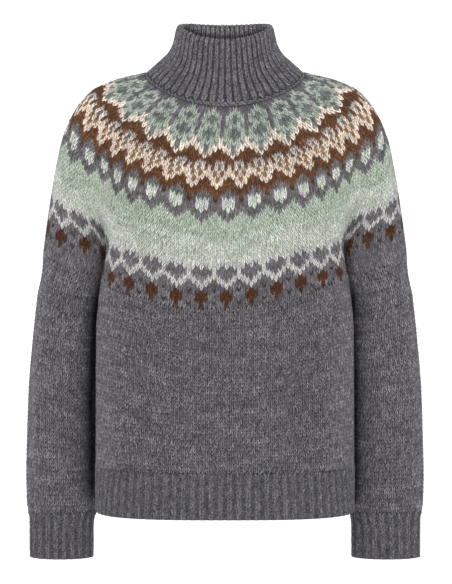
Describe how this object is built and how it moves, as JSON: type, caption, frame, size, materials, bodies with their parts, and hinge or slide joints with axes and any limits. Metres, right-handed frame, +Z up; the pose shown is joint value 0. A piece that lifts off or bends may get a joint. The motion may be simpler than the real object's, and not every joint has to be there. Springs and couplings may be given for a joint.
{
  "type": "turtleneck sweater",
  "caption": "Knitted turtleneck sweater with a round patterned yoke, ribbed neckband, hem and cuffs, filled out as if worn, hollow and open at neck, hem and cuffs.",
  "frame": {"origin": "middle of the neck, level with the highest points of the shoulders at the neckband's seam", "axes": "+Z up, -Y out of the front, +X towards the wearer's left"},
  "size_m": [0.5434, 0.2618, 0.734],
  "materials": {
    "rib_wool": "one by one rib in brushed heather grey wool",
    "yoke_wool": "stranded colour knit in mint, white, brown and grey brushed wool",
    "plain_wool": "stocking stitch in brushed heather grey wool"
  },
  "bodies": {
    "root": {"collar": "rib_wool", "yoke": "yoke_wool", "body_front": "plain_wool", "body_back": "plain_wool", "hem_front": "rib_wool", "hem_back": "rib_wool", "sleeve_left": "plain_wool", "sleeve_right": "plain_wool", "cuff_left": "rib_wool", "cuff_right": "rib_wool"}
  },
  "joints": []
}
